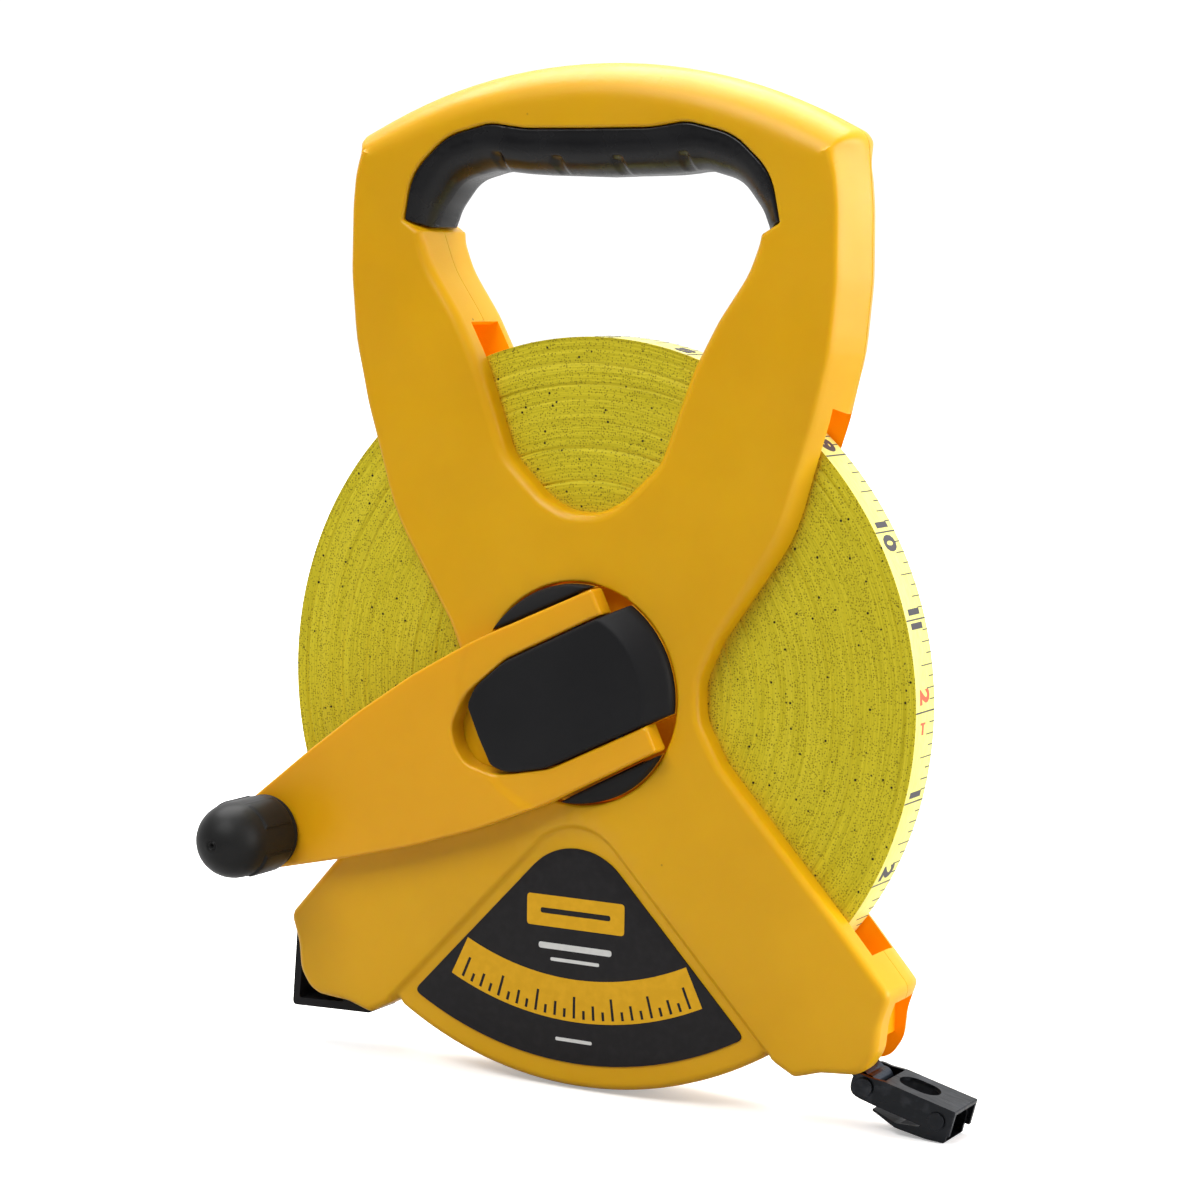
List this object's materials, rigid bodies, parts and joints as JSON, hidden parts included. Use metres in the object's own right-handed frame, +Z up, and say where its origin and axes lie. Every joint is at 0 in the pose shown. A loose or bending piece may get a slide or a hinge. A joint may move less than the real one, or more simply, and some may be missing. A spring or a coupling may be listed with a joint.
{
  "type": "surveyor tape reel",
  "caption": "Open-reel long tape: two-shell X-shaped frame with a hand grip, wound tape on a turning reel, folding crank with a spinning knob, and a hinged end hook.",
  "frame": {"origin": "centre of the axle head's flat face, on the reel axis at the back of the frame", "axes": "+Z up to the handle, +Y out of the back, -Y out of the crank side, +X to the foot that the tape leaves"},
  "size_m": [0.2296, 0.064, 0.2937],
  "materials": {
    "frame_yellow": "moulded, fine matt texture",
    "crank_yellow": "moulded, satin",
    "grip_rubber": "overmoulded, matt",
    "label": "printed film, satin",
    "black_plastic": "moulded, fine texture",
    "tape_edge": "edges of wound fibreglass tape",
    "tape_face": "coated fibreglass tape",
    "bush": "turned bearing plastic",
    "zinc_steel": "zinc plated",
    "blackened_steel": "blackened sheet"
  },
  "bodies": {
    "frame": {"front_shell": "frame_yellow", "rear_shell": "frame_yellow", "handle_grip": "grip_rubber", "shell_screw_1": "zinc_steel", "shell_screw_2": "zinc_steel", "shell_screw_3": "zinc_steel", "shell_screw_4": "zinc_steel", "shell_screw_5": "zinc_steel", "shell_screw_6": "zinc_steel", "shell_screw_7": "zinc_steel", "front_label": "label", "rear_label": "label", "foot_insert": "black_plastic", "axle": "zinc_steel", "rear_washer": "zinc_steel", "front_washer": "zinc_steel", "axle_screw": "zinc_steel", "tape_tail": "tape_face", "tape_end_loop": "blackened_steel"},
    "reel": {"spool_drum": "frame_yellow", "tape_pack": "tape_edge", "axle_bush": "bush", "hub_cap": "black_plastic", "hub_segment_upper": "black_plastic", "hub_segment_lower": "black_plastic", "crank_hinge_pin_upper": "zinc_steel", "crank_hinge_pin_lower": "zinc_steel"},
    "crank": {"crank_arm": "crank_yellow", "knob_spindle": "zinc_steel"},
    "knob": {"crank_knob": "black_plastic"},
    "hook": {"hook_body": "blackened_steel", "hook_pin": "blackened_steel", "claw_rivet_front": "blackened_steel", "claw_rivet_rear": "blackened_steel"},
    "claw": {"hook_claw": "blackened_steel"}
  },
  "joints": [
    {"name": "reel_spin", "type": "hinge", "parent": "frame", "child": "reel", "pos_m": [0, -0.014, 0], "axis": [0, 1, 0], "continuous": true},
    {"name": "crank_fold", "type": "hinge", "parent": "reel", "child": "crank", "pos_m": [0.009, -0.0317, 0.00435], "axis": [-0.4352, 0, 0.9003], "range_deg": [0, 180]},
    {"name": "knob_spin", "type": "hinge", "parent": "crank", "child": "knob", "pos_m": [-0.10129, -0.035, -0.04896], "axis": [0, 1, 0], "continuous": true},
    {"name": "hook_swing", "type": "hinge", "parent": "frame", "child": "hook", "pos_m": [0.0892, -0.014, -0.103], "axis": [0, 1, 0], "range_deg": [-45, 90]},
    {"name": "claw_fold", "type": "hinge", "parent": "hook", "child": "claw", "pos_m": [0.11088, -0.014, -0.10943], "axis": [0, -1, 0], "range_deg": [0, 85]}
  ]
}
